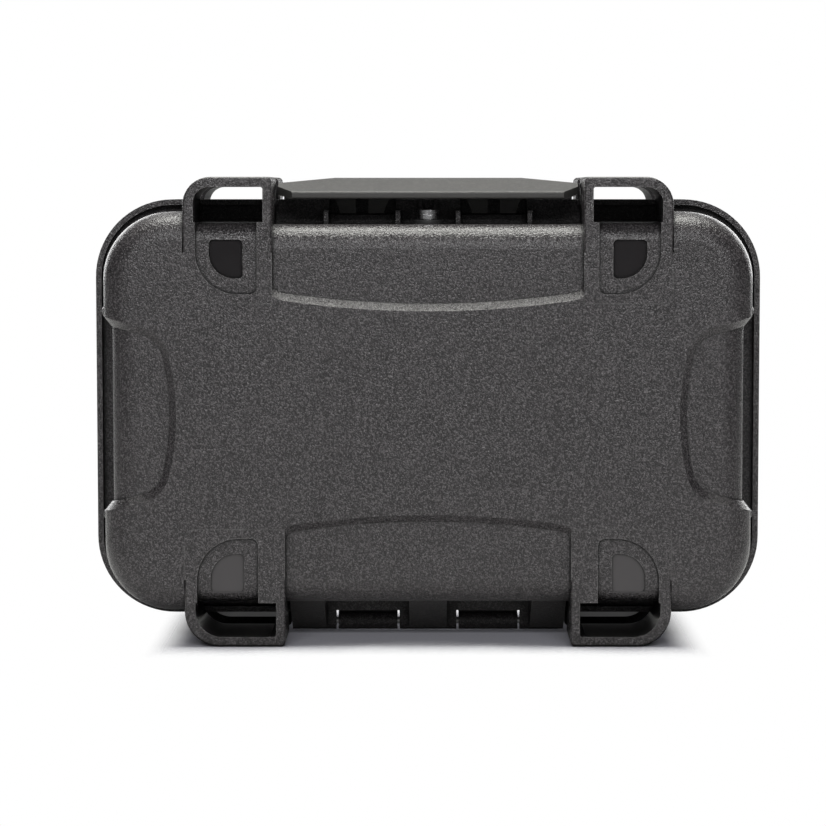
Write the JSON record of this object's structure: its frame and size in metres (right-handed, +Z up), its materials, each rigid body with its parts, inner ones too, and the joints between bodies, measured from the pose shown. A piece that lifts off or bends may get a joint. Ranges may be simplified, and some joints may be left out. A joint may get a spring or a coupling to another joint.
{
  "type": "protective hard case",
  "caption": "Compact black grained plastic hard case with a sealed hinged lid, wide latch lever, bumper loops and a purge valve.",
  "frame": {"origin": "on the floor under the middle of the closed case, which stands on its hinge edge", "axes": "+X along the hinge to the right as seen from the base, +Y from the base to the lid, +Z up to the latch"},
  "size_m": [0.24, 0.08, 0.1657],
  "materials": {
    "shell_plastic": "grained",
    "bumper_plastic": "grained",
    "lever_plastic": "satin",
    "gasket_rubber": "matte",
    "pin_steel": "satin",
    "valve_plastic": "satin",
    "valve_metal": "satin",
    "foam": "matte"
  },
  "bodies": {
    "base": {"base_shell": "shell_plastic", "base_bumper_top_left": "bumper_plastic", "base_bumper_top_right": "bumper_plastic", "base_bumper_bottom_left": "bumper_plastic", "base_bumper_bottom_right": "bumper_plastic", "base_foam": "foam", "hinge_pin_left": "pin_steel", "hinge_pin_right": "pin_steel", "purge_valve_housing": "valve_plastic", "purge_valve_seal": "gasket_rubber", "purge_valve_nut": "valve_plastic"},
    "lid": {"lid_shell": "shell_plastic", "lid_bumper_top_left": "bumper_plastic", "lid_bumper_top_right": "bumper_plastic", "lid_bumper_bottom_left": "bumper_plastic", "lid_bumper_bottom_right": "bumper_plastic", "lid_foam": "foam", "lid_gasket": "gasket_rubber", "latch_pin_left": "pin_steel", "latch_pin_right": "pin_steel"},
    "latch": {"latch_lever": "lever_plastic"},
    "purge_knob": {"purge_valve_knob": "valve_metal"}
  },
  "joints": [
    {"name": "lid_hinge", "type": "hinge", "parent": "base", "child": "lid", "pos_m": [0, 0, 0.0035], "axis": [-1, 0, 0], "range_deg": [0, 120]},
    {"name": "latch_pivot", "type": "hinge", "parent": "lid", "child": "latch", "pos_m": [0, 0.0135, 0.1611], "axis": [-1, 0, 0], "range_deg": [0, 110]},
    {"name": "purge_turn", "type": "hinge", "parent": "base", "child": "purge_knob", "pos_m": [0, -0.021, 0.1524], "axis": [0, 0, 1], "range_deg": [0, 270]}
  ]
}
